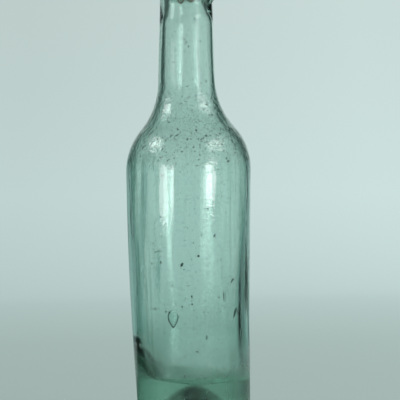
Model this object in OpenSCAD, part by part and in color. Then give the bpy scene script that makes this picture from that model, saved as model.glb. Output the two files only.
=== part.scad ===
// Hand-blown soda bottle with an applied lip, corked, with a wire bail over the cork.
// Millimetres, +Z up. The origin is on the resting plane, on the bottle's own axis.

/* [Blown body] */
// Diameter at the top of the heel curve
heel_d = 58; // [50:0.5:62]
// Widest diameter, where the shoulder starts
body_d = 64.4; // [60:0.2:72]
// Height at which the shoulder starts
side_h = 128; // [90:1:170]
// How far the side swells past a straight taper
side_swell = 0.35; // [0:0.05:1]
// Radius of the heel curve
heel_curve = 8; // [5:0.5:9]
// Radius of the shoulder's outward curve
shoulder_r = 33; // [24:0.5:40]
// Radius of the inward sweep from the shoulder to the neck
sweep_r = 38; // [24:0.5:60]
// Diameter at the foot of the neck
neck_root_d = 29.6; // [28:0.2:34]
// Diameter of the neck under the lip
neck_top_d = 27; // [25:0.2:28]
// Length of the neck from the end of the sweep to the foot of the lip
neck_h = 41; // [30:1:60]
// Thickness of the side wall
side_wall = 3; // [2:0.1:5]
// Thickness of the neck wall
neck_wall = 2.4; // [1.8:0.1:3.4]
// Length below the cork over which the neck closes in to its bore
choke_l = 16; // [8:0.5:20]

/* [Base] */
// Diameter of the push-up where it meets the resting ring
push_d = 38; // [24:0.5:40]
// Height of the push-up
push_h = 17; // [6:0.5:24]
// Glass over the tip of the push-up
push_cover = 6; // [3:0.5:10]
// Height of the lowest ring of the inside floor
floor_z = 19; // [12:0.5:21]
// Diameter of that lowest ring
floor_d = 30; // [24:0.5:36]
// Height at which the inside wall starts to curve in towards the floor
bowl_z = 44; // [32:1:54]

/* [Applied lip] */
// Diameter of the lip
lip_d = 34; // [33:0.5:36]
// Height of the lip with its ring
lip_h = 22; // [20:0.2:26]
// Diameter of the ring at the lip's foot
ring_d = 32; // [29.6:0.2:33]
// Glass over the neck at the bottom of the wire's groove
groove_skin = 0.8; // [0.5:0.1:1.2]
// Height of the ring
ring_h = 5.2; // [4.6:0.2:6]
// Radius of the ring's rounded edges
ring_edge_r = 1.7; // [1:0.1:2]
// Height of the groove between ring and lip
groove_h = 2.2; // [2:0.1:3]
// Radius of the curve under the lip
lip_under_r = 5; // [4:0.5:7]
// Radius of the curve at the top of the lip
lip_over_r = 5.5; // [3:0.5:6]
// Bore of the mouth at the top
mouth_d = 19.4; // [18:0.1:20]
// Bore at the cork's lower end
throat_d = 18.4; // [17:0.1:19]
// Radius of the rounded edge of the mouth
mouth_edge_r = 1.2; // [0.5:0.1:2]
// Lip glass that covers the cut end of the neck
lip_cover = 8; // [5:0.5:9]

/* [Cork] */
// Length of the cork
cork_l = 24; // [20:0.5:26]
// How far the cork stands out of the mouth
cork_proud = 6.5; // [5:0.5:8]
// How far the free head swells past the mouth's bore, on the radius
cork_swell = 0.5; // [0:0.1:1]
// Bevel round the cork's lower end
cork_bevel = 0.8; // [0.4:0.1:1.5]
// Gap between cork and glass, on the radius
cork_gap = 0.1; // [0.05:0.05:0.2]

/* [Neck wire] */
// Diameter of the neck wire
tie_wire_d = 1.5; // [1:0.1:1.8]
// Hole in each eye of the neck wire
eye_d = 2.6; // [2.4:0.1:3]
// Gap between the eyes and the lip
eye_gap = 0.25; // [0.2:0.05:1]
// Gap between neck wire and groove
tie_gap = 0.05; // [0.05:0.05:0.2]
// Thickness of the stems that carry the eyes
stem_d = 1.9; // [1.8:0.1:2]
// Length of the twisted ends
pigtail_l = 7; // [4:0.5:9]
// Turns in the twisted ends
pigtail_turns = 2; // [1:0.5:3]

/* [Bail] */
// Diameter of the bail wire
bail_wire_d = 1.8; // [1.4:0.1:2]
// Inside radius of the hooks at the bail's ends
hook_r = 1.3; // [1.2:0.1:2]
// How far the bail's ends stand past the eyes
pin_past = 0.3; // [0.1:0.1:0.4]
// Radius of the bail's two top corners, at the middle of the wire
bail_corner_r = 9; // [5:0.5:12]
// Length of the saddle along the bail
saddle_l = 13; // [8:0.5:16]
// Width of the saddle across the bail
saddle_w = 5.4; // [3:0.1:8]
// Thickness of the saddle
saddle_t = 1.1; // [0.8:0.1:1.6]
// Gap between the closed saddle and the crown of the cork
saddle_gap = 0.2; // [0.1:0.05:0.5]
// Lean of the open bail from its closed place, as drawn
bail_lean = 50; // [45:1:90]

/* [Hidden] */

round_fn = 96;   // true curves at any count above 12
arc_steps = 12;  // steps in each arc of an outline
bite = 0.1;      // how far joined shapes run into each other

// Outside of the blown body
body_r = body_d / 2;
heel_top_r = heel_d / 2;
neck_root_r = neck_root_d / 2;
neck_top_r = neck_top_d / 2;
neck_lean = atan((neck_root_r - neck_top_r) / neck_h);
side_lean = atan((body_r - heel_top_r) / (side_h - heel_curve));

// Angle at which the shoulder's outward curve hands over to the inward sweep
function shoulder_turn(drop, out_r, in_r) =
    acos((out_r + in_r * cos(neck_lean) - drop) / (out_r + in_r));

turn = shoulder_turn(body_r - neck_root_r, shoulder_r, sweep_r);
sweep_z = side_h + shoulder_r * sin(turn);
neck_z = sweep_z + sweep_r * (sin(turn) - sin(neck_lean));
lip_z = neck_z + neck_h;
top_z = lip_z + lip_h;
neck_end_z = top_z - lip_cover;

function neck_outer_r(z) = neck_root_r - (z - neck_z) * tan(neck_lean);

// Inside of the blown body
inner_side_r = body_r - side_wall;
inner_root_r = neck_root_r - neck_wall;
inner_turn = shoulder_turn(inner_side_r - inner_root_r, shoulder_r - side_wall, sweep_r + neck_wall);
inner_sweep_z = side_h + (shoulder_r - side_wall) * sin(inner_turn);
inner_neck_z = inner_sweep_z + (sweep_r + neck_wall) * (sin(inner_turn) - sin(neck_lean));
floor_r = floor_d / 2;
floor_top_z = push_h + push_cover;

// Cork and bore
cork_z = top_z + cork_proud - cork_l;
neck_inner_r = neck_outer_r(cork_z - choke_l) - neck_wall;
function bore_r(z) =
    throat_d / 2 + (mouth_d - throat_d) / 2 * (z - cork_z) / (top_z - cork_z);

// Groove and neck wire, and the hinge of the bail
ring_r = ring_d / 2;
groove_r = neck_top_r + groove_skin;
foot_edge_r = min(ring_edge_r, ring_r - neck_top_r);
groove_edge_r = min(ring_edge_r, ring_r - groove_r);
groove_z = lip_z + ring_h;
tie_z = groove_z + groove_h / 2;
tie_r = groove_r + tie_gap + tie_wire_d / 2;
eye_r = (eye_d + tie_wire_d) / 2;
eye_y = lip_d / 2 + eye_gap + tie_wire_d / 2;
hinge_z = tie_z + eye_r;

// Bail, about its hinge
hook_bend_r = hook_r + bail_wire_d / 2;
leg_y = eye_y + hook_bend_r;
pin_l = tie_wire_d / 2 + pin_past;
head_r = mouth_d / 2 + cork_swell;
crown_r = top_z + cork_proud - hinge_z;
saddle_r = crown_r + saddle_gap;
bar_r = saddle_r + bite + bail_wire_d / 2;

// Points on an arc about centre c, from angle a0 to a1
function arc(c, r, a0, a1) =
    [for (i = [0:arc_steps]) let (a = a0 + (a1 - a0) * i / arc_steps) c + r * [cos(a), sin(a)]];

function reversed(list) = [for (i = [len(list) - 1:-1:0]) list[i]];

// Radius of the side at a height, swelling a little past its straight taper
function side_r(z) =
    let (t = (z - heel_curve) / (side_h - heel_curve))
    heel_top_r + (body_r - heel_top_r) * t + side_swell * 4 * t * (1 - t);

// Outside of the glass from the resting ring up to the cut end of the neck
function glass_outside() = concat(
    arc([heel_top_r - heel_curve, heel_curve], heel_curve, -90, -side_lean),
    [for (i = [1:arc_steps - 1])
        let (z = heel_curve + (side_h - heel_curve) * i / arc_steps) [side_r(z), z]],
    arc([body_r - shoulder_r, side_h], shoulder_r, 0, turn),
    reversed(arc([neck_root_r + sweep_r * cos(neck_lean), neck_z + sweep_r * sin(neck_lean)],
        sweep_r, 180 + neck_lean, 180 + turn)),
    [[neck_outer_r(neck_end_z), neck_end_z]]
);

// Inside of the glass from the bore down to the floor ring
function glass_inside() = concat(
    [[bore_r(neck_end_z), neck_end_z]],
    [for (i = [0:arc_steps])
        let (t = i / arc_steps)
        [bore_r(cork_z) + (neck_inner_r - bore_r(cork_z)) * (1 - cos(180 * t)) / 2,
         cork_z - choke_l * t]],
    arc([inner_root_r + (sweep_r + neck_wall) * cos(neck_lean),
         inner_neck_z + (sweep_r + neck_wall) * sin(neck_lean)],
        sweep_r + neck_wall, 180 + neck_lean, 180 + inner_turn),
    reversed(arc([body_r - shoulder_r, side_h], shoulder_r - side_wall, 0, inner_turn)),
    [for (i = [arc_steps - 1:-1:0])
        let (z = bowl_z + (side_h - bowl_z) * i / arc_steps) [side_r(z) - side_wall, z]],
    [for (i = [1:arc_steps])
        let (a = 90 * i / arc_steps)
        [floor_r + (side_r(bowl_z) - side_wall - floor_r) * cos(a),
         bowl_z - (bowl_z - floor_z) * sin(a)]]
);

// Inside floor from its lowest ring up over the push-up
function floor_rise() =
    [for (i = [1:arc_steps])
        let (t = i / arc_steps)
        [floor_r * (1 - t), floor_z + (floor_top_z - floor_z) * (1 - cos(180 * t)) / 2]];

// Underside from the tip of the push-up out to the resting ring
function push_up() =
    [for (i = [0:arc_steps])
        let (t = i / arc_steps) [push_d / 2 * t, push_h * cos(90 * t)]];

// A ring of round wire about Z
module wire_ring(ring_r, wire_d, angle = 360)
    rotate_extrude(angle = angle, $fn = round_fn)
        translate([ring_r, 0]) circle(d = wire_d, $fn = round_fn);

// Round wire bent in the XY plane. Each step is [length, bend radius, bend angle], and bends go left.
module bent_wire(wire_d, steps, at = 0) {
    if (at < len(steps)) {
        length = steps[at][0];
        bend_r = steps[at][1];
        bend = steps[at][2];
        rotate([0, 90, 0]) cylinder(h = length, d = wire_d, $fn = round_fn);
        if (bend > 0)
            translate([length, bend_r, 0]) {
                rotate(-90) wire_ring(bend_r, wire_d, bend);
                rotate(bend) translate([0, -bend_r, 0]) bent_wire(wire_d, steps, at + 1);
            }
    }
}

// Body and neck, blown in one piece from the first gather of glass
module bottle_body()
    color([0.56, 0.76, 0.68, 0.5])
        rotate_extrude($fn = round_fn)
            polygon(concat(glass_outside(), glass_inside(), floor_rise(), push_up()));

// Ring, groove and rounded lip, from the neck up to the mouth
function lip_outside() =
    let (
        across = lip_d / 2 - groove_r,
        start = -acos((lip_under_r - across) / lip_under_r)
    )
    concat(
        [[neck_outer_r(lip_z), lip_z]],
        arc([ring_r - foot_edge_r, lip_z + foot_edge_r], foot_edge_r, -90, 0),
        arc([ring_r - groove_edge_r, groove_z - groove_edge_r], groove_edge_r, 0, 90),
        [[groove_r, groove_z]],
        arc([lip_d / 2 - lip_under_r, groove_z + groove_h - lip_under_r * sin(start)],
            lip_under_r, start, 0),
        arc([lip_d / 2 - lip_over_r, top_z - lip_over_r], lip_over_r, 0, 90),
        arc([bore_r(top_z) + mouth_edge_r, top_z - mouth_edge_r], mouth_edge_r, 90, 180)
    );

// Second gather, wound on over the cut end of the neck and shaped with a lipping tool
module applied_lip()
    color([0.5, 0.72, 0.64, 0.5])
        rotate_extrude($fn = round_fn)
            difference() {
                polygon(concat([[bore_r(lip_z), lip_z]], lip_outside()));
                // the neck that the lip is wound on
                polygon([
                    [0, lip_z - bite],
                    [neck_outer_r(lip_z - bite), lip_z - bite],
                    [neck_outer_r(neck_end_z), neck_end_z],
                    [0, neck_end_z]
                ]);
            }

// Wire collar in the groove, with an eye front and back for the bail and its ends twisted together
module neck_wire()
    color("dimgray") {
        translate([0, 0, tie_z]) wire_ring(tie_r, tie_wire_d);
        for (side = [-1, 1]) {
            translate([0, side * eye_y, hinge_z])
                rotate([90, 0, 0]) wire_ring(eye_r, tie_wire_d);
            translate([0, side * tie_r, tie_z - stem_d / 8])
                rotate([-90 * side, 0, 0])
                    cylinder(h = eye_y - tie_r, d = stem_d, $fn = round_fn);
        }
        pigtail();
    }

// The collar's two ends, twisted together and standing out from it
module pigtail()
    translate([-tie_r, 0, tie_z])
        rotate([0, -90, 0])
            linear_extrude(height = pigtail_l, twist = -360 * pigtail_turns, slices = 16 * pigtail_turns)
                for (side = [-1, 1])
                    translate([0, side * (tie_wire_d - bite) / 2]) circle(d = tie_wire_d, $fn = 14);

// Tapered cork, swollen and domed where it stands out of the mouth
module cork()
    color("burlywood")
        rotate_extrude($fn = round_fn)
            polygon(concat(
                [
                    [0, cork_z],
                    [bore_r(cork_z) - cork_gap - cork_bevel, cork_z],
                    [bore_r(cork_z) - cork_gap, cork_z + cork_bevel],
                    [bore_r(top_z) - cork_gap, top_z],
                    [head_r, top_z + cork_swell]
                ],
                arc([0, hinge_z], crown_r, 90 - asin(head_r / crown_r), 90)
            ));

// Heavy wire bail, hooked into the neck wire's eyes, with a flattened saddle that bears on the cork
module cork_bail()
    color("gray")
        translate([0, 0, hinge_z])
            rotate([0, bail_lean, 0]) {
                for (side = [0, 1])
                    mirror([0, side, 0])
                        translate([0, leg_y - hook_bend_r - pin_l, 0])
                            rotate([90, 0, 90])
                                bent_wire(bail_wire_d, [
                                    [pin_l, hook_bend_r, 90],
                                    [bar_r - hook_bend_r - bail_corner_r, bail_corner_r, 90],
                                    [leg_y - bail_corner_r, 0, 0]
                                ]);
                saddle();
            }

// The bail's middle, hammered flat and curved about the hinge
module saddle() {
    spread = asin(saddle_w / 2 / saddle_r);
    rotate([90, 0, 0])
        rotate(90 - spread)
            rotate_extrude(angle = 2 * spread, $fn = round_fn)
                translate([saddle_r, -saddle_l / 2]) square([saddle_t, saddle_l]);
}

bottle_body();
applied_lip();
neck_wire();
cork();
cork_bail();
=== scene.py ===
import math
import random

import bpy
import numpy as np
from mathutils import Matrix, Vector, noise


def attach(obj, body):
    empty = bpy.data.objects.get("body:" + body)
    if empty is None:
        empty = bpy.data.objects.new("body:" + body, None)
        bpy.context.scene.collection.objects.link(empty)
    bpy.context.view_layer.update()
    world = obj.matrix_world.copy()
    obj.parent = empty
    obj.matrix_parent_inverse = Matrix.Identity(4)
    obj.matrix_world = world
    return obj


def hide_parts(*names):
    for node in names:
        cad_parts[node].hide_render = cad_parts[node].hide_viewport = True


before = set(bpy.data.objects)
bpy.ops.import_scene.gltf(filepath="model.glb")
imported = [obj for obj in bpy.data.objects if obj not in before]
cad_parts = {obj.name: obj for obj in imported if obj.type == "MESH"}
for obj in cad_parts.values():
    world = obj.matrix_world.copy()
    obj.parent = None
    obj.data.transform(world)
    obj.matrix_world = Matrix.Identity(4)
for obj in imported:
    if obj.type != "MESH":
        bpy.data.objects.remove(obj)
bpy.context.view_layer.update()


# ---------------------------------------------------------------- blown body
# The body, neck and push-up are one piece of aqua glass, blown from the first gather
# in a turned mould and finished by hand. The neck's cut end sits inside the lip.

MM = 0.001
SPOKES = 168
RING_SPACING = 1.25 * MM

HEEL_RADIUS = 29 * MM
HEEL_CURVE = 8 * MM
BODY_RADIUS = 32.2 * MM
SIDE_HEIGHT = 128 * MM
SIDE_SWELL = 0.35 * MM
SHOULDER_CURVE = 33 * MM
SWEEP_CURVE = 38 * MM
NECK_FOOT_RADIUS = 14.8 * MM
NECK_TOP_RADIUS = 13.5 * MM
NECK_LENGTH = 41 * MM
NECK_IN_LIP = 3.2 * MM

SIDE_WALL = 3.0 * MM
NECK_WALL = 2.4 * MM
THROAT_RADIUS = 9.2 * MM
CHOKE_LENGTH = 16 * MM
BOWL_HEIGHT = 44 * MM
BOWL_TURN = math.radians(2.5)
FLOOR_HEIGHT = 20 * MM
FLOOR_CORNER = 1.2 * MM
PUSH_RADIUS = 19 * MM
PUSH_HEIGHT = 17 * MM
PUSH_COVER = 6 * MM

neck_lean = math.atan((NECK_FOOT_RADIUS - NECK_TOP_RADIUS) / NECK_LENGTH)


def turn_between(drop, outward, inward):
    """Angle at which a shoulder's outward curve hands over to the inward sweep."""
    return math.acos((outward + inward * math.cos(neck_lean) - drop) / (outward + inward))


def arc(centre, radius, start, end, steps=16):
    """Points on an arc from one angle to another, in radians."""
    turns = [start + (end - start) * i / steps for i in range(steps + 1)]
    return [(centre[0] + radius * math.cos(t), centre[1] + radius * math.sin(t)) for t in turns]


def side_radius(height):
    """Radius of the side, which swells a little past its straight taper."""
    share = (height - HEEL_CURVE) / (SIDE_HEIGHT - HEEL_CURVE)
    swell = SIDE_SWELL * 4 * share * (1 - share)
    return HEEL_RADIUS + (BODY_RADIUS - HEEL_RADIUS) * share + swell


def neck_radius(height):
    return NECK_FOOT_RADIUS - (height - neck_foot) * math.tan(neck_lean)


shoulder_turn = turn_between(BODY_RADIUS - NECK_FOOT_RADIUS, SHOULDER_CURVE, SWEEP_CURVE)
neck_foot = (
    SIDE_HEIGHT
    + (SHOULDER_CURVE + SWEEP_CURVE) * math.sin(shoulder_turn)
    - SWEEP_CURVE * math.sin(neck_lean)
)
lip_foot = neck_foot + NECK_LENGTH
neck_end = lip_foot + NECK_IN_LIP

inner_shoulder = SHOULDER_CURVE - SIDE_WALL
inner_sweep = SWEEP_CURVE + NECK_WALL
inner_foot_radius = NECK_FOOT_RADIUS - NECK_WALL
inner_turn = turn_between(
    BODY_RADIUS - SIDE_WALL - inner_foot_radius, inner_shoulder, inner_sweep
)
inner_neck_foot = (
    SIDE_HEIGHT
    + (inner_shoulder + inner_sweep) * math.sin(inner_turn)
    - inner_sweep * math.sin(neck_lean)
)

# Outlines are (radius, height) points, in order: underside, outside up, inside down.
underside = [
    (PUSH_RADIUS * t, PUSH_HEIGHT * math.cos(math.pi / 2 * t)) for t in np.linspace(0, 1, 17)
]
sweep_centre = (
    NECK_FOOT_RADIUS + SWEEP_CURVE * math.cos(neck_lean),
    neck_foot + SWEEP_CURVE * math.sin(neck_lean),
)
outside = (
    arc((HEEL_RADIUS - HEEL_CURVE, HEEL_CURVE), HEEL_CURVE, -math.pi / 2, -0.02)
    + [(side_radius(z), z) for z in np.linspace(HEEL_CURVE, SIDE_HEIGHT, 14)[1:-1]]
    + arc((BODY_RADIUS - SHOULDER_CURVE, SIDE_HEIGHT), SHOULDER_CURVE, 0, shoulder_turn)
    + arc(sweep_centre, SWEEP_CURVE, math.pi + shoulder_turn, math.pi + neck_lean)
    + [(neck_radius(neck_end), neck_end)]
)

choke_foot_radius = neck_radius(neck_end - CHOKE_LENGTH) - NECK_WALL
choke = [
    (
        THROAT_RADIUS + (choke_foot_radius - THROAT_RADIUS) * (1 - math.cos(math.pi * t)) / 2,
        neck_end - CHOKE_LENGTH * t,
    )
    for t in np.linspace(0, 1, 17)
]
inner_sweep_centre = (
    inner_foot_radius + inner_sweep * math.cos(neck_lean),
    inner_neck_foot + inner_sweep * math.sin(neck_lean),
)
bowl_radius = side_radius(BOWL_HEIGHT) - SIDE_WALL
bowl_drop = BOWL_HEIGHT - FLOOR_HEIGHT - FLOOR_CORNER * (1 - math.sin(BOWL_TURN))
bowl_curve = bowl_drop / math.sin(BOWL_TURN)
floor_radius = (
    bowl_radius - bowl_curve * (1 - math.cos(BOWL_TURN)) - FLOOR_CORNER * math.cos(BOWL_TURN)
)
floor_corner_centre = (floor_radius, FLOOR_HEIGHT + FLOOR_CORNER)
floor_rise = PUSH_HEIGHT + PUSH_COVER - FLOOR_HEIGHT
inner_floor = [
    (floor_radius * (1 - t), FLOOR_HEIGHT + floor_rise * (1 - math.cos(math.pi * t)) / 2)
    for t in np.linspace(0, 1, 15)[1:]
]
inside = (
    choke
    + arc(inner_sweep_centre, inner_sweep, math.pi + neck_lean, math.pi + inner_turn)
    + arc((BODY_RADIUS - SHOULDER_CURVE, SIDE_HEIGHT), inner_shoulder, inner_turn, 0)
    + [(side_radius(z) - SIDE_WALL, z) for z in np.linspace(SIDE_HEIGHT, BOWL_HEIGHT, 12)[1:]]
    + arc((bowl_radius - bowl_curve, BOWL_HEIGHT), bowl_curve, 0, -BOWL_TURN)
    + arc(floor_corner_centre, FLOOR_CORNER, -BOWL_TURN, -math.pi / 2, 8)
    + inner_floor
)


def evenly_spaced(points, spacing):
    """The same outline with its points about one spacing apart, ends kept."""
    points = np.array(points)
    steps = np.linalg.norm(np.diff(points, axis=0), axis=1)
    lengths = np.concatenate([[0], np.cumsum(steps)])
    marks = np.linspace(0, lengths[-1], round(lengths[-1] / spacing) + 1)
    return np.column_stack([np.interp(marks, lengths, points[:, i]) for i in (0, 1)])


def spun(name, outline):
    """A solid of revolution: one vertex drawn along an outline, then spun round the axis."""
    bpy.ops.object.select_all(action="DESELECT")
    bpy.ops.mesh.primitive_plane_add(size=MM, location=(outline[0][0], 0, outline[0][1]))
    piece = bpy.context.object
    piece.name = name
    bpy.ops.object.mode_set(mode="EDIT")
    bpy.ops.mesh.merge(type="CENTER")
    for (radius, height), (next_radius, next_height) in zip(outline, outline[1:]):
        step = (next_radius - radius, 0, next_height - height)
        bpy.ops.mesh.extrude_vertices_move(TRANSFORM_OT_translate={"value": step})
    bpy.ops.mesh.select_all(action="SELECT")
    bpy.ops.mesh.spin(steps=SPOKES, angle=math.tau, center=(0, 0, 0), axis=(0, 0, 1))
    bpy.ops.mesh.select_all(action="SELECT")
    bpy.ops.mesh.remove_doubles(threshold=0.002 * MM)
    bpy.ops.mesh.normals_make_consistent(inside=False)
    bpy.ops.object.mode_set(mode="OBJECT")
    bpy.ops.object.transform_apply(location=True)
    bpy.ops.object.shade_smooth()
    return piece


body = spun(
    "blown_body",
    np.concatenate([evenly_spaced(part, RING_SPACING) for part in (underside, outside, inside)]),
)

# What hand blowing did to the turned form: it sagged, the wall came out uneven, the inside
# floor tilted, and a pool of glass ran down against the left wall.
BODY_SAG = 0.9 * MM
NECK_SAG = 0.5 * MM
FLOOR_TILT = 4 * MM
FLOOR_TILT_TOP = 30 * MM
POOL_FLOOR = 24 * MM
POOL_CURVE = 16 * MM
POOL_DEPTH = 9 * MM
POOL_TOP = 44 * MM
POOL_LAP = 0.8 * MM
POOL_LAP_HEIGHT = 4.5 * MM
HEAVY_WALL = 1.2 * MM
HEAVY_HEIGHT = 56 * MM
PUSH_TIP = 1.2 * MM
PUSH_TIP_RADIUS = 5 * MM
RIPPLE_FOOT = 9 * MM
# Uneven glass: (depth, reach across, reach along, seed of its noise), in millimetres.
UNEVEN_WALL = [(0.4, 14, 70, 3.1), (0.14, 5, 45, 7.7)]
UNEVEN_HEEL = [(0.7, 12, 12, 6.1)]
UNEVEN_FLOOR = [(1.7, 12, 30, 9.3)]
UNEVEN_PUSH = [(0.9, 7, 30, 2.9)]
SKIN_RIPPLE = [(0.05, 9, 26, 1.4), (0.02, 3.5, 12, 5.2)]

outside_heights = [z for _, z in outside]
outside_radii = [r for r, _ in outside]


def held(value):
    """The value, kept between 0 and 1."""
    return min(1, max(0, value))


def hump(height, middle, reach):
    """1 at the middle height, falling away within the reach above and below it."""
    return math.exp(-(((height - middle) / reach) ** 2))


def outer_radius(height):
    return float(np.interp(height, outside_heights, outside_radii))


def bow(height):
    """How far the hand-held body sagged to one side before the glass set."""
    lower = math.sin(math.pi * held((height - 8 * MM) / (140 * MM)))
    upper = math.sin(math.pi * held((height - 148 * MM) / (60 * MM)))
    return -BODY_SAG * lower - NECK_SAG * upper


def glass_flow(place, across, along, seed):
    """Smooth noise that is drawn out along the bottle, as glass flows when it is blown."""
    return noise.noise(Vector((place.x / across, place.y / across, place.z / along + seed)))


def unevenness(place, layers):
    """The layers of uneven glass added up at one place, in metres."""
    return sum(
        depth * MM * glass_flow(place, across * MM, along * MM, seed)
        for depth, across, along, seed in layers
    )


def floor_lift(place, wall_radius):
    """The inside floor stands highest at the left."""
    sunk = held((FLOOR_TILT_TOP - place.z) / (FLOOR_TILT_TOP - FLOOR_HEIGHT))
    return FLOOR_TILT * sunk * max(0, -place.x / wall_radius) ** 1.2


def pool_depth(height, lift):
    """Depth of the pool where it is deepest. It laps up the wall and curves into the floor."""
    steep = held(1 - (height + lift - POOL_FLOOR) / POOL_CURVE)
    curved = min(POOL_DEPTH, POOL_CURVE * (1 - math.sqrt(1 - steep * steep)))
    lapped = held((POOL_TOP - height) / POOL_LAP_HEIGHT)
    return curved + POOL_LAP * lapped * lapped * (3 - 2 * lapped)


def added_wall(place, out, lift, radius, wall_radius):
    """How much thicker the wall is here than it was turned, thin places being negative."""
    added = unevenness(place, UNEVEN_WALL)
    in_neck = held((place.z - 150 * MM) / (20 * MM))
    added += (0.3 - 0.75 * in_neck) * MM * out.x - 0.25 * MM * in_neck
    pool_side = max(0, -out.x) ** 8
    added += pool_depth(place.z, lift) * pool_side * min(1, radius / wall_radius)
    added += unevenness(place, UNEVEN_HEEL) * hump(place.z, 22 * MM, 9 * MM)
    heavy_side = max(0, out.x) ** 4
    return added + HEAVY_WALL * hump(place.z, HEAVY_HEIGHT, 26 * MM) * heavy_side


outer_skin = body.data.attributes.new("outer_skin", "FLOAT", "POINT")
for vertex in body.data.vertices:
    place = vertex.co.copy()
    radius = math.hypot(place.x, place.y)
    under = PUSH_HEIGHT * math.cos(math.pi / 2 * min(radius / PUSH_RADIUS, 1))
    on_underside = abs(place.z - under) < 0.2 * MM
    if on_underside:
        vertex.co.z += PUSH_TIP * math.exp(-((radius / PUSH_TIP_RADIUS) ** 2))
    if radius < 0.1 * MM:
        vertex.co.x += bow(place.z)
        continue
    outer = outer_radius(place.z)
    out = Vector((place.x, place.y, 0)) / radius
    above_underside = place.z > under + 2.5 * MM
    if radius < outer - 1.2 * MM and above_underside:
        lift = floor_lift(place, outer - SIDE_WALL)
        vertex.co.z += lift
        fade = held((lip_foot - place.z) / (8 * MM))
        vertex.co -= out * added_wall(place, out, lift, radius, outer - SIDE_WALL) * fade
    elif place.z > RIPPLE_FOOT and radius > outer - 0.1 * MM:
        outer_skin.data[vertex.index].value = 1
        fade = held((place.z - RIPPLE_FOOT) / (10 * MM)) * held((lip_foot - place.z) / (6 * MM))
        vertex.co += out * unevenness(place, SKIN_RIPPLE) * fade
    vertex.co.x += bow(place.z)
    if above_underside and place.z < 26 * MM and radius < outer - 6 * MM:
        vertex.co.z += unevenness(place, UNEVEN_FLOOR)
    elif on_underside and radius < PUSH_RADIUS:
        vertex.co.z += unevenness(place, UNEVEN_PUSH) * (1 - radius / PUSH_RADIUS)


# Seeds are air bubbles caught in the wall, drawn out upwards in the blowing. On the front
# each is (x, height, width, length, lean), in millimetres and degrees. Elsewhere they are
# strewn at random, most of them round the back.
FRONT_SEEDS = [
    (-3.4, 80.5, 0.9, 1.4, 25),
    (4.6, 84.5, 0.8, 0.9, 0),
    (-0.2, 77.5, 0.35, 0.5, 0),
    (-14.3, 82.0, 0.5, 0.5, 0),
    (21.8, 72.0, 0.7, 1.3, -30),
    (0.8, 64.5, 0.45, 0.9, 0),
    (0.8, 62.0, 0.35, 0.7, 0),
    (-3.8, 59.5, 0.4, 0.5, 0),
    (17.3, 64.0, 0.35, 5.2, 0),
    (23.2, 55.3, 1.0, 5.6, -24),
    (-15.0, 87.2, 0.3, 6.2, 84),
    (9.8, 108.0, 0.5, 0.7, 0),
    (13.0, 94.5, 0.6, 2.0, 12),
    (-6.8, 136.5, 0.6, 0.6, 0),
    (-13.0, 137.3, 0.4, 0.4, 0),
    (-0.6, 139.8, 0.35, 0.5, 0),
    (6.0, 142.2, 0.4, 0.4, 0),
    (20.0, 131.7, 0.75, 0.75, 0),
    (12.3, 152.2, 0.35, 0.6, 0),
    (-18.8, 153.4, 0.35, 0.5, 0),
    (-13.5, 17.0, 0.5, 0.9, 0),
    (-3.7, 24.5, 1.0, 1.5, 10),
    (6.2, 22.8, 0.9, 1.2, -15),
]
SEED_DEPTH = 1.5 * MM
LOOSE_SEEDS = 90
SHARE_AT_BACK = 0.75

bpy.ops.object.select_all(action="DESELECT")
bpy.ops.mesh.primitive_ico_sphere_add(subdivisions=3, radius=0.5 * MM)
seed = bpy.context.object
bpy.ops.object.mode_set(mode="EDIT")
bpy.ops.mesh.flip_normals()
bpy.ops.object.mode_set(mode="OBJECT")
bpy.ops.object.shade_smooth()

chance = random.Random(17)
seeds = []


def set_in_wall(angle, height, width, length, depth, lean=0.0, flatness=1.0):
    """One more bubble, at an angle round the wall from +X. Angles are in radians."""
    copy = seed.copy()
    copy.data = seed.data.copy()
    bpy.context.collection.objects.link(copy)
    radius = outer_radius(height) - depth
    centre = (radius * math.cos(angle) + bow(height), radius * math.sin(angle), height)
    copy.data.transform(
        Matrix.Translation(centre)
        @ Matrix.Rotation(angle, 4, "Z")
        @ Matrix.Rotation(lean, 4, "X")
        @ Matrix.Diagonal((width * flatness, width, length, 1))
    )
    seeds.append(copy)


for x, height, width, length, lean in FRONT_SEEDS:
    angle = -math.acos(x * MM / (outer_radius(height * MM) - SEED_DEPTH))
    set_in_wall(angle, height * MM, width, length, SEED_DEPTH, math.radians(-lean), 0.8)
for _ in range(LOOSE_SEEDS):
    at_back = chance.random() < SHARE_AT_BACK
    angle = math.radians(chance.uniform(-20, 200) if at_back else chance.uniform(-160, -20))
    width = 0.25 + 0.6 * chance.random() ** 3
    height = chance.uniform(26, 205) * MM
    length = width * chance.uniform(1, 3)
    set_in_wall(angle, height, width, length, chance.uniform(0.8, 2.2) * MM)

# A blister low on the front: one large flat bubble just under the skin.
BLISTER_X = -8.6 * MM
BLISTER_HEIGHT = 53.4 * MM
BLISTER_WIDTH = 5.4 * MM
BLISTER_LENGTH = 8.4 * MM
BLISTER_THICKNESS = 0.5 * MM
BLISTER_DEPTH = 1.1 * MM
BLISTER_LEAN = math.radians(4)

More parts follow.
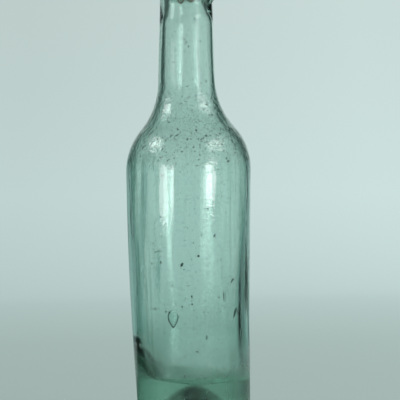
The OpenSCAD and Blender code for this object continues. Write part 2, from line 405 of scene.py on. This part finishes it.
blister_radius = outer_radius(BLISTER_HEIGHT) - BLISTER_DEPTH
blister_angle = -math.acos(BLISTER_X / blister_radius)
blister_out = Vector((math.cos(blister_angle), math.sin(blister_angle), 0))
blister_side = Vector((-blister_out.y, blister_out.x, 0))
blister_centre = blister_out * blister_radius + Vector((bow(BLISTER_HEIGHT), 0, BLISTER_HEIGHT))
set_in_wall(
    blister_angle,
    BLISTER_HEIGHT,
    BLISTER_WIDTH / MM,
    BLISTER_LENGTH / MM,
    BLISTER_DEPTH,
    BLISTER_LEAN,
)
for vertex in seeds[-1].data.vertices:
    offset = vertex.co - blister_centre
    rise = offset.z / (BLISTER_LENGTH / 2)
    narrowing = 1 - 0.55 * max(0, -rise) ** 2
    depth = min(max(offset.dot(blister_out), -BLISTER_THICKNESS / 2), BLISTER_THICKNESS / 2)
    vertex.co = (
        blister_centre
        + blister_out * depth
        + blister_side * offset.dot(blister_side) * narrowing
        + Vector((0, 0, offset.z))
    )

bpy.data.objects.remove(seed)
bpy.ops.object.select_all(action="DESELECT")
for copy in seeds:
    copy.select_set(True)
body.select_set(True)
bpy.context.view_layer.objects.active = body
bpy.ops.object.join()


class Socket:
    """A shader socket. Sums of it and of numbers add Math nodes."""

    def __init__(self, finish, socket):
        self.finish = finish
        self.socket = socket

    def sum(self, operation, first, second):
        return self.finish.add("ShaderNodeMath", {"operation": operation}, {0: first, 1: second})

    def __add__(self, other):
        return self.sum("ADD", self, other)

    def __radd__(self, other):
        return self.sum("ADD", other, self)

    def __sub__(self, other):
        return self.sum("SUBTRACT", self, other)

    def __rsub__(self, other):
        return self.sum("SUBTRACT", other, self)

    def __mul__(self, other):
        return self.sum("MULTIPLY", self, other)

    def __rmul__(self, other):
        return self.sum("MULTIPLY", other, self)

    def __truediv__(self, other):
        return self.sum("DIVIDE", self, other)

    def __rtruediv__(self, other):
        return self.sum("DIVIDE", other, self)

    def __abs__(self):
        return self.sum("ABSOLUTE", self, 0.0)


class Finish:
    """A material. Its add method makes one node from its type, settings and inputs."""

    def __init__(self, name):
        self.material = bpy.data.materials.new(name)
        self.material.use_nodes = True
        self.tree = self.material.node_tree
        self.tree.nodes.clear()
        self.output = self.tree.nodes.new("ShaderNodeOutputMaterial")

    def add(self, kind, settings=None, inputs=None, output=0):
        node = self.tree.nodes.new(kind)
        for name, value in (settings or {}).items():
            if name == "stops":
                self.set_stops(node.color_ramp, value)
            else:
                setattr(node, name, value)
        for name, value in (inputs or {}).items():
            if isinstance(value, Socket):
                self.tree.links.new(value.socket, node.inputs[name])
            else:
                node.inputs[name].default_value = value
        return Socket(self, node.outputs[output])

    def set_stops(self, ramp, stops):
        while len(ramp.elements) < len(stops):
            ramp.elements.new(0.5)
        for element, (position, colour) in zip(ramp.elements, stops):
            element.position = position
            element.color = colour

    def place(self):
        """Where a point is on the piece, in metres."""
        return self.add("ShaderNodeTexCoord", output=3)

    def part(self, vector, axis):
        """One coordinate of a vector: 0 runs sideways, 1 to the back and 2 up."""
        return self.add("ShaderNodeSeparateXYZ", inputs={"Vector": vector}, output=axis)

    def scaled(self, vector, scale):
        return self.add("ShaderNodeMapping", inputs={"Vector": vector, "Scale": scale})

    def length(self, vector):
        return self.add("ShaderNodeVectorMath", {"operation": "LENGTH"}, {0: vector}, 1)

    def noise(self, vector, scale, detail):
        inputs = {"Vector": vector, "Scale": scale, "Detail": detail}
        return self.add("ShaderNodeTexNoise", inputs=inputs)

    def between(self, value, low, high, style="SMOOTHSTEP", start=0.0, end=1.0):
        """0 at the low value and 1 at the high one, or the start and end that are given."""
        return self.add(
            "ShaderNodeMapRange",
            {"interpolation_type": style},
            {"Value": value, "From Min": low, "From Max": high, "To Min": start, "To Max": end},
        )

    def mix(self, share, first, second):
        inputs = {"Factor": share, 6: first, 7: second}
        return self.add("ShaderNodeMix", {"data_type": "RGBA"}, inputs, 2)

    def lit(self, colour, strength):
        """A colour made stronger or weaker by a number."""
        inputs = {0: colour, "Scale": strength}
        return self.add("ShaderNodeVectorMath", {"operation": "SCALE"}, inputs)

    def bump(self, height, strength, distance):
        inputs = {"Height": height, "Strength": strength, "Distance": distance}
        return self.add("ShaderNodeBump", inputs=inputs)

    def surface(self, **inputs):
        """A Principled surface. Its inputs are named with _ for each space."""
        inputs = {name.replace("_", " "): value for name, value in inputs.items()}
        return self.add("ShaderNodeBsdfPrincipled", inputs=inputs)

    def put(self, socket, name="Surface"):
        self.tree.links.new(socket.socket, self.output.inputs[name])


ABSORBED_PER_METRE = 26
ABSORPTION_COLOUR = (0.21, 0.61, 0.45, 1)
GLASS_IOR = 1.52
CLEAR_TINT = (0.80, 0.905, 0.872, 1)
FOOT_TINT = (0.742, 0.877, 0.838, 1)
# A darker tint for the glass low on the flanks.
LOW_FLANK_TINT = (0.58, 0.73, 0.68, 1)
CORD_TINT = (0.36, 0.52, 0.46, 1)
DIRT_COLOUR = (0.012, 0.035, 0.027, 1)
# Colour of the painted shade on the tip of the push-up.
PUSH_UP_SHADE_COLOUR = (0.006, 0.048, 0.034, 1)
SILT_COLOUR = (0.33, 0.72, 0.55, 1)
SKIN_DEPTH = 0.25 * MM

# Where each mark begins and where it is full: a height, or a distance from the axis.
FOOT_GREENS = (85 * MM, 30 * MM)
# The glass darkens low on the flanks: across, at the top and at the foot.
LOW_FLANK_SIDES = (6 * MM, 27 * MM)
LOW_FLANK_TOP = (56 * MM, 38 * MM)
LOW_FLANK_FOOT = (20 * MM, 27 * MM)
CORDED_SIDES = (12 * MM, 29 * MM)
SHOULDER_MIDDLE = 150 * MM
SHOULDER_REACH = (26 * MM, 12 * MM)
WORN_FOOT = (50 * MM, 16 * MM)
# Where the painted shade on the push-up's tip begins and is full.
PUSH_UP_SHADE_RADIUS = (12.5 * MM, 8.5 * MM)
PUSH_UP_SHADE_TOP = (20.8 * MM, 20 * MM)
SILT_FOOT = (17.5 * MM, 19.5 * MM)
CLOUD_RADIUS = (25.5 * MM, 21.5 * MM)
CLOUD_TOP = (34 * MM, 24 * MM)
FILM_RADIUS = (28.4 * MM, 27.6 * MM)
FILM_TOP = (26.2 * MM, 21.5 * MM)
FILM_THICKENS = (20 * MM, 26.2 * MM)


def dirt_round_blister(finish, sideways, depth, height):
    """A dark line of old dirt where the blister's thin skin has cracked round its edge."""
    across = (sideways - BLISTER_X - bow(BLISTER_HEIGHT)) / (BLISTER_WIDTH / 2)
    along = (height - BLISTER_HEIGHT) / (BLISTER_LENGTH / 2)
    tail = finish.between(along, 0.5, -1.0)
    reach = across / (1 - tail * 0.5)
    off_line = abs(reach * reach + along * along - 1)
    cracked = finish.between(along + across * 0.3, 1.0, 0.5)
    on_front = finish.between(depth, -24 * MM, -27 * MM)
    return finish.between(off_line, 0.26, 0.11) * on_front * cracked


# Stones, open bubbles and a slit on the front hold dirt. Each is (x, height, half width,
# half length, lean), in millimetres, with the lean as the step sideways per step up.
DIRTY_SPOTS = [
    (-3.6, 80.4, 0.75, 1.15, 0.3),
    (-2.6, 78.0, 0.35, 0.35, 0),
    (4.8, 84.6, 0.6, 0.6, 0),
    (21.4, 71.6, 0.4, 1.3, 0.4),
    (-14.3, 82.0, 0.4, 0.4, 0),
    (-3.9, 59.4, 0.45, 0.4, 0),
    (1.1, 64.3, 0.3, 0.9, 0),
    (1.1, 60.6, 0.45, 0.5, 0),
    (17.0, 64.0, 0.25, 2.4, 0),
    (-12.1, 56.9, 0.4, 0.5, 0),
    (12.7, 94.6, 0.25, 0.9, 0.2),
    (9.8, 108.0, 0.45, 0.5, 0),
    (20.0, 131.7, 0.6, 0.45, 0),
    (22.5, 55.4, 0.6, 2.6, 0.28),
]


def dirt_in_spots(finish, sideways, depth, height, ragged):
    """Dirt in each of the spots on the front, with ragged edges."""
    total = 0.0
    for x, z, half_width, half_length, lean in DIRTY_SPOTS:
        rise = height - z * MM
        across = (sideways - rise * lean - x * MM - bow(z * MM)) / (half_width * MM)
        along = rise / (half_length * MM)
        total = finish.between(across * across + along * along + ragged, 1.5, 0.4) + total
    return total * finish.between(depth, -10 * MM, -14 * MM)


def whittled_skin(finish, place, shoulder, outer_skin):
    """Height of the skin: whittle marks, pits, drawn grooves and a hammered shoulder."""
    drawn = finish.scaled(place, (1, 1, 0.25))
    whittle = finish.noise(drawn, 210, 2) * 0.8
    pits = finish.noise(place, 900, 1) * 0.12
    grooves = finish.noise(finish.scaled(place, (1, 1, 0.05)), 700, 2) * 0.16
    hammered = finish.noise(place, 480, 2) * (outer_skin * (shoulder * 5.5 + 0.5) + 0.1)
    return whittle + pits + grooves + hammered


def tint_of_glass(finish, place, sideways, height):
    """Clear glass that darkens at the foot and low on the flanks, with drawn cords."""
    tint = finish.mix(finish.between(height, *FOOT_GREENS), CLEAR_TINT, FOOT_TINT)
    low_flanks = finish.between(abs(sideways - 3 * MM), *LOW_FLANK_SIDES)
    low_flanks = low_flanks * finish.between(height, *LOW_FLANK_TOP) * finish.between(height, *LOW_FLANK_FOOT)
    tint = finish.mix(low_flanks, tint, LOW_FLANK_TINT)
    flank = finish.between(abs(sideways), *CORDED_SIDES)
    cords = finish.between(finish.noise(finish.scaled(place, (1, 1, 0.05)), 420, 4), 0.46, 0.78)
    return finish.mix(cords * (flank * 0.85 + 0.15), tint, CORD_TINT)


def specks_of_dirt(finish, place, shoulder):
    """Coarse and fine specks of dirt in the skin's pits, thickest on the shoulder."""
    coarse = finish.between(finish.noise(place, 620, 3) + shoulder * 0.06, 0.695, 0.73)
    fine = finish.between(finish.noise(place, 1300, 2) + shoulder * 0.04, 0.69, 0.72)
    return (coarse + fine * 0.6) * 0.9


def aqua_glass(name, grain):
    """Aqua glass: clear walls over a green body, with dirt, silt and painted shade on the
    push-up.
    """
    finish = Finish(name)
    place = finish.place()
    sideways = finish.part(place, 0)
    depth = finish.part(place, 1)
    height = finish.part(place, 2)
    outer_skin = finish.add("ShaderNodeAttribute", {"attribute_name": "outer_skin"}, output=2)
    shoulder = finish.between(abs(height - SHOULDER_MIDDLE), *SHOULDER_REACH)

    ragged = finish.noise(place, 1800, 2) * 1.2 - 0.6
    flaws = dirt_in_spots(finish, sideways, depth, height, ragged)
    flaws = flaws + dirt_round_blister(finish, sideways, depth, height)
    dirt = specks_of_dirt(finish, place, shoulder) + flaws * outer_skin
    colour = finish.mix(dirt, tint_of_glass(finish, place, sideways, height), DIRT_COLOUR)

    # A dark patch on the tip of the push-up is painted shade: the shadow under the bottle, seen
    # through the glass. It is smeared front to back and narrower higher up.
    uneven = finish.noise(place, 300, 3) * 8 * MM
    from_middle = finish.length(finish.scaled(place, (1, 0.5, 0)))
    narrowed = from_middle + uneven + (height - 11.4 * MM) * 0.6
    push_up_shade = finish.between(narrowed, *PUSH_UP_SHADE_RADIUS) * finish.between(height, *PUSH_UP_SHADE_TOP)

    # Silt clouds the inside above the floor, and has dried as a film in the floor's corner.
    from_axis = finish.length(finish.scaled(place, (1, 1, 0)))
    above_glass = finish.between(height, *SILT_FOOT)
    cloud = finish.between(from_axis, *CLOUD_RADIUS) * finish.between(height, *CLOUD_TOP)
    film = finish.between(from_axis, *FILM_RADIUS) * above_glass
    film = film * finish.between(height + uneven * 0.3, *FILM_TOP)
    film = film * (finish.between(from_axis, *FILM_THICKENS) * 0.4 + 0.35)

    haze = finish.noise(finish.scaled(place, (1, 1, 0.25)), 60, 5)
    haze = finish.between(haze, 0.45, 0.75) * 0.10
    wear = finish.between(height, *WORN_FOOT) * 0.26
    glass = finish.surface(
        Base_Color=colour,
        Roughness=haze + wear + cloud * above_glass * 0.25,
        IOR=GLASS_IOR,
        Transmission_Weight=1.0,
        Normal=finish.bump(whittled_skin(finish, place, shoulder, outer_skin), grain, SKIN_DEPTH),
    )
    silt = finish.surface(Base_Color=SILT_COLOUR, Roughness=0.9, Specular_IOR_Level=0.1)
    # A dark opaque surface, mixed onto the push-up's tip as painted shade.
    scale = finish.surface(Base_Color=PUSH_UP_SHADE_COLOUR, Roughness=0.8, Specular_IOR_Level=0.1)
    silted = finish.add("ShaderNodeMixShader", inputs={0: film, 1: glass, 2: silt})
    finish.put(finish.add("ShaderNodeMixShader", inputs={0: push_up_shade, 1: silted, 2: scale}))
    absorption = {"Color": ABSORPTION_COLOUR, "Density": ABSORBED_PER_METRE}
    finish.put(finish.add("ShaderNodeVolumeAbsorption", inputs=absorption), "Volume")
    return finish.material


def dress(piece, material, riding, slot, *nodes):
    """A finished piece gets its material, the body it moves with and the nodes it stands for."""
    piece.data.materials.clear()
    piece.data.materials.append(material)
    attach(piece, riding)
    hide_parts(*nodes)


dress(body, aqua_glass("body_glass", 0.25), "bottle", "aqua_glass", "bottle_body")


# -------------------------------------------------------------- applied lip
# The lip is a second gather, wound on over the neck and turned with a lipping tool: a ring,
# a groove for the wire and a rounded top. Its foot ran down the neck in uneven drips.

LIP_RADIUS = 17 * MM
LIP_HEIGHT = 22 * MM
RING_HEIGHT = 5.2 * MM
RING_EDGE = 1.7 * MM
GROOVE_HEIGHT = 2.2 * MM
GROOVE_RADIUS = NECK_TOP_RADIUS + 0.8 * MM
LIP_UNDER_CURVE = 5 * MM
LIP_OVER_CURVE = 5.5 * MM
MOUTH_RADIUS = 9.7 * MM
MOUTH_EDGE = 1.2 * MM
FUSED = 0.03 * MM

lip_top = lip_foot + LIP_HEIGHT
groove_foot = lip_foot + RING_HEIGHT
under_start = -math.acos((LIP_UNDER_CURVE - LIP_RADIUS + GROOVE_RADIUS) / LIP_UNDER_CURVE)
under_centre = (
    LIP_RADIUS - LIP_UNDER_CURVE,
    groove_foot + GROOVE_HEIGHT - LIP_UNDER_CURVE * math.sin(under_start),
)
over_centre = (LIP_RADIUS - LIP_OVER_CURVE, lip_top - LIP_OVER_CURVE)
mouth_centre = (MOUTH_RADIUS + MOUTH_EDGE, lip_top - MOUTH_EDGE)

lip_outline = (
    [(THROAT_RADIUS, neck_end + FUSED), (neck_radius(neck_end) + FUSED, neck_end + FUSED)]
    + [(neck_radius(lip_foot) + FUSED, lip_foot + 0.4 * MM)]
    + arc((GROOVE_RADIUS, lip_foot + RING_EDGE), RING_EDGE, -math.pi / 2, 0, 10)
    + arc((GROOVE_RADIUS, groove_foot - RING_EDGE), RING_EDGE, 0, math.pi / 2, 10)
    + arc(under_centre, LIP_UNDER_CURVE, under_start, 0, 10)
    + arc(over_centre, LIP_OVER_CURVE, 0, math.pi / 2)
    + arc(mouth_centre, MOUTH_EDGE, math.pi / 2, math.pi, 8)
    + [(THROAT_RADIUS, neck_end + FUSED)]
)
lip = spun("applied_lip_glass", evenly_spaced(lip_outline, 0.5 * MM))

# Drips on the front: (middle, half width, drop), in degrees round the neck and millimetres.
FRONT_DRIPS = [(-10.6, 10, 4.7), (10.8, 11.5, 4.0)]
SMEAR_HEIGHT = 3 * MM


def foot_rise(angle):
    """How far the foot of the lip stands above its nominal height, by angle round the neck."""
    from_front = math.degrees((angle + math.pi / 2 + math.pi) % math.tau - math.pi)
    rise = 2.7 + 0.9 * max(0, math.sin(angle))
    rise += 0.5 * noise.noise(Vector((math.cos(angle) * 2.1, math.sin(angle) * 2.1, 4.4)))
    rise -= 2.9 * hump(from_front, 88, 24)
    for middle, half_width, drop in FRONT_DRIPS:
        reach = max(0, 1 - ((from_front - middle) / half_width) ** 2)
        rise -= drop * reach**0.5
    return rise * MM


for vertex in lip.data.vertices:
    place = vertex.co.copy()
    radius = math.hypot(place.x, place.y)
    out = Vector((place.x, place.y, 0)) / radius
    below = held((groove_foot - RING_EDGE - place.z) / (RING_HEIGHT - RING_EDGE))
    if radius > neck_radius(place.z) - 0.5 * MM and below > 0:
        vertex.co.z += foot_rise(math.atan2(place.y, place.x)) * below
        smear = max(0, lip_foot + SMEAR_HEIGHT - vertex.co.z) / SMEAR_HEIGHT
        proud = max(0, radius - neck_radius(place.z) - 0.3 * MM)
        vertex.co -= out * proud * min(0.9, smear)
    elif radius > THROAT_RADIUS + 1 * MM and place.z > groove_foot + 2 * MM:
        vertex.co += out * 0.12 * MM * (glass_flow(place, 9 * MM, 9 * MM, 2.2) - 0.5)

dress(lip, aqua_glass("lip_glass", 0.35), "bottle", "aqua_glass", "applied_lip")


# ---------------------------------------------------------------- wires
# The neck wire is soft black iron, twisted tight in the lip's groove. The bail is heavier
# tinned iron, hooked into its eyes. Both have rusted where the tin wore off, most at the bends.

PALE_RUST = (0.32, 0.13, 0.05, 1)
DARK_RUST = (0.10, 0.035, 0.015, 1)
BLACK_IRON = (0.20, 0.20, 0.19, 1)
TINNED_IRON = (0.46, 0.44, 0.40, 1)


def iron_wire(name, metal, rust_from):
    """Drawn iron wire, with rust in patches and fine scale all over."""
    finish = Finish(name)
    place = finish.place()
    patches = finish.noise(place, 260, 6)
    flakes = finish.noise(place, 2600, 3)
    rust = finish.between(patches + flakes * 0.25, rust_from, rust_from + 0.12, "LINEAR")
    surface = finish.surface(
        Base_Color=finish.mix(rust, metal, finish.mix(flakes, DARK_RUST, PALE_RUST)),
        Metallic=1 - rust * 0.9,
        Roughness=0.34 + rust * 0.5,
        Normal=finish.bump(flakes * rust + patches * 0.3, 0.6, 0.1 * MM),
    )
    finish.put(surface)
    return finish.material


def refinish(node, material):
    """A CAD node keeps its shape and gets a real finish."""
    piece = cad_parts[node]
    piece.data.materials.clear()
    piece.data.materials.append(material)


refinish("neck_wire", iron_wire("neck_wire_iron", BLACK_IRON, 0.62))
refinish("cork_bail", iron_wire("bail_tinned_iron", TINNED_IRON, 0.66))


# ---------------------------------------------------------------- cork
# The cork is cut from bark, so it is full of dark pores that run across it. It was squeezed
# and driven into the throat, and its head has swollen where it stands out of the mouth.

DARK_BARK = (0.33, 0.19, 0.10, 1)
PALE_BARK = (0.66, 0.46, 0.28, 1)
PORE_COLOUR = (0.07, 0.035, 0.02, 1)


def cut_cork():
    """Pale cork with a fine grain and dark pores drawn out across it."""
    finish = Finish("cut_cork")
    place = finish.place()
    grain = finish.noise(place, 700, 6)
    pores = finish.noise(finish.scaled(place, (0.35, 1, 1.6)), 230, 2)
    pores = finish.between(pores, 0.6, 0.68, "LINEAR")
    surface = finish.surface(
        Base_Color=finish.mix(pores, finish.mix(grain, DARK_BARK, PALE_BARK), PORE_COLOUR),
        Roughness=0.82 + grain * 0.1,
        Normal=finish.bump(grain * 0.4 - pores, 0.7, 0.3 * MM),
    )
    finish.put(surface)
    return finish.material


refinish("cork", cut_cork())


# ---------------------------------------------------------------- studio
# A pale paper bowl rises from the floor all round. Soft lights stand in front and above. Dark
# cards behind the bottle, unseen by the camera, draw the dark edges of the glass, and a dark
# strip on the floor is a painted shadow of the bottle.

FLAT_RADIUS = 1.15
WALL_RADIUS = 1.95
WALL_TOP = 1.9
WALL_CURVE = WALL_RADIUS - FLAT_RADIUS

bowl = spun(
    "studio_bowl",
    [(0, 0)]
    + arc((FLAT_RADIUS, WALL_CURVE), WALL_CURVE, -math.pi / 2, 0, 24)
    + [(WALL_RADIUS, WALL_TOP)],
)

# The paper's glow is painted light and shade: tones by distance from under the bottle, dimmer
# to the left, and a painted dark contact shadow right under the bottle. It also has a matte coat
# that takes the bottle's shadow.
PAPER_REACH = 2.1
PAINTED_PAPER_TONES = [
    # Painted contact shadow: the paper's glow is dark right under the bottle.
    (0.004, (0.01, 0.015, 0.014, 1)),
    (0.0100, (0.380, 0.480, 0.455, 1)),
    (0.12, (0.392, 0.492, 0.466, 1)),
    (0.24, (0.415, 0.525, 0.500, 1)),
    (0.50, (0.505, 0.637, 0.617, 1)),
    (0.75, (0.648, 0.800, 0.780, 1)),
    (0.90, (0.626, 0.744, 0.725, 1)),
]
PAPER_MATTE = (0.10, 0.12, 0.115, 1)

paper = Finish("bowl_paper")
paper_place = paper.place()
paper_share = paper.between(paper.length(paper_place), 0.0, PAPER_REACH, "LINEAR")
painted_paper_tone = paper.add("ShaderNodeValToRGB", {"stops": PAINTED_PAPER_TONES}, {"Fac": paper_share})
left_to_right = paper.between(paper.part(paper_place, 0), -0.25, 0.25, "LINEAR", 0.725, 0.85)
glow = paper.add("ShaderNodeEmission", inputs={"Color": paper.lit(painted_paper_tone, left_to_right)})
matte = paper.add("ShaderNodeBsdfDiffuse", inputs={"Color": PAPER_MATTE})
paper.put(paper.add("ShaderNodeAddShader", inputs={0: glow, 1: matte}))
bowl.data.materials.append(paper.material)

LIGHT_AIM = Vector((0, 0, 0.13))


def soft_light(name, azimuth, elevation, distance, width, tall, radiance):
    """A soft light that faces the bottle. Angles are in degrees, from in front and level."""
    lamp = bpy.data.lights.new(name, "AREA")
    lamp.shape = "RECTANGLE"
    lamp.size = width
    lamp.size_y = tall
    lamp.energy = radiance * math.pi * width * tall
    holder = bpy.data.objects.new(name, lamp)
    bpy.context.scene.collection.objects.link(holder)
    turn = math.radians(azimuth)
    lift = math.radians(elevation)
    level = math.cos(lift)
    away = Vector((math.sin(turn) * level, -math.cos(turn) * level, math.sin(lift)))
    holder.location = LIGHT_AIM + away * distance
    holder.rotation_euler = (-away).to_track_quat("-Z", "Y").to_euler()
    holder.visible_camera = False


# Each light: azimuth, elevation, distance, width, height and radiance.
soft_light("left_window", -46, 2, 1.0, 0.24, 0.20, 5)
soft_light("left_window_inner", -30, 2, 1.0, 0.12, 0.20, 3.5)
soft_light("left_window_top", -58, 10, 1.0, 0.30, 0.10, 1.2)
soft_light("left_blind", -27, 16, 1.0, 0.10, 0.22, 1.0)
soft_light("left_skylight", -83, 38, 1.2, 0.40, 0.30, 5.4)
soft_light("right_window", 41, 2, 1.0, 0.30, 0.20, 7)
soft_light("right_window_top", 50, 14, 1.0, 0.26, 0.24, 1.3)
soft_light("right_skylight", 64, 38, 1.2, 0.60, 0.30, 3.8)


def stand_card(name, azimuth, distance, height, width, tall, pitch):
    """A card behind the bottle, unseen by the camera: upright or, with no pitch, flat."""
    bpy.ops.object.select_all(action="DESELECT")
    bpy.ops.mesh.primitive_plane_add(size=1)
    card = bpy.context.object
    card.name = name
    turn = math.radians(azimuth)
    card.data.transform(Matrix.Rotation(pitch, 4, "X") @ Matrix.Diagonal((width, tall, 1, 1)))
    card.rotation_euler = (0, 0, -turn)
    card.location = (distance * math.sin(turn), distance * math.cos(turn), height)
    card.visible_camera = False
    card.visible_shadow = False
    card.visible_diffuse = False
    return card


def dark_card(name, colour, azimuth, distance, width, foot, top, near_tone, far_tone):
    """An upright card that darkens away from the middle of the view."""
    side = math.copysign(1, azimuth)
    card = stand_card(
        name, azimuth, distance, (foot + top) / 2, side * width, top - foot, math.pi / 2
    )
    shade = Finish(name + "_shade")
    outwards = shade.part(shade.place(), 0) * side
    tone = shade.between(outwards, -width / 2, 0.0, "SMOOTHSTEP", near_tone, far_tone)
    shade.put(shade.add("ShaderNodeEmission", inputs={"Color": shade.lit(colour, tone)}))
    card.data.materials.append(shade.material)


CARD_GREEN = (0.45, 1.0, 0.86)
SHADE_GREY = (0.64, 1.0, 0.94)

# Each card: colour, azimuth, distance, width, foot, top, and its tones near and far from
# the middle of the view.
dark_card("left_low_card", CARD_GREEN, -60, 0.36, 0.20, 0, 0.16, 0.14, 0.04)
dark_card("left_high_card", CARD_GREEN, -52, 0.36, 0.29, 0.16, 1.2, 0.12, 0.06)
dark_card("left_shade", SHADE_GREY, -28, 0.40, 0.26, 0, 0.18, 0.46, 0.43)
dark_card("right_low_card", CARD_GREEN, 62, 0.36, 0.20, 0, 0.16, 0.34, 0.04)
dark_card("right_high_card", CARD_GREEN, 52, 0.36, 0.29, 0.16, 1.2, 0.12, 0.06)
dark_card("right_shade", SHADE_GREY, 36, 0.40, 0.16, 0, 0.16, 0.48, 0.33)

# A dark strip on the floor, a painted shadow of the bottle, runs from near the bottle to the
# foot of the left card.
STRIP_NEAR = 0.040
STRIP_FAR = 0.50
STRIP_WIDTH = 0.14

strip = stand_card(
    "left_floor_shadow_card",
    -60,
    (STRIP_NEAR + STRIP_FAR) / 2,
    1 * MM,
    STRIP_WIDTH,
    STRIP_FAR - STRIP_NEAR,
    0,
)
strip_shade = Finish("left_floor_card_shade")
strip_glow = {"Color": (0.6, 1.0, 0.9, 1), "Strength": 0.05}
strip_shade.put(strip_shade.add("ShaderNodeEmission", inputs=strip_glow))
strip.data.materials.append(strip_shade.material)

world = bpy.data.worlds.new("room")
bpy.context.scene.world = world
world.use_nodes = True
room_light = world.node_tree.nodes["Background"].inputs
room_light["Color"].default_value = (0.62, 0.70, 0.68, 1)
room_light["Strength"].default_value = 0.5

# The camera looks level at mid height, rolled a little, as the bottle leans in the view.
VIEW_DISTANCE = 0.9
VIEW_SPAN = 206.5 * MM
VIEW_CENTRE = Vector((5.2 * MM, 0, 112.5 * MM))
VIEW_ROLL = math.radians(1.13)
SENSOR_WIDTH = 36

camera_data = bpy.data.cameras.new("camera")
camera_data.sensor_width = SENSOR_WIDTH
camera_data.lens = SENSOR_WIDTH * VIEW_DISTANCE / VIEW_SPAN
camera = bpy.data.objects.new("camera", camera_data)
bpy.context.scene.collection.objects.link(camera)
camera.matrix_world = (
    Matrix.Translation(VIEW_CENTRE + Vector((0, -VIEW_DISTANCE, 0)))
    @ Matrix.Rotation(math.pi / 2, 4, "X")
    @ Matrix.Rotation(-VIEW_ROLL, 4, "Z")
)
bpy.context.scene.camera = camera
bpy.context.scene.view_settings.view_transform = "Standard"
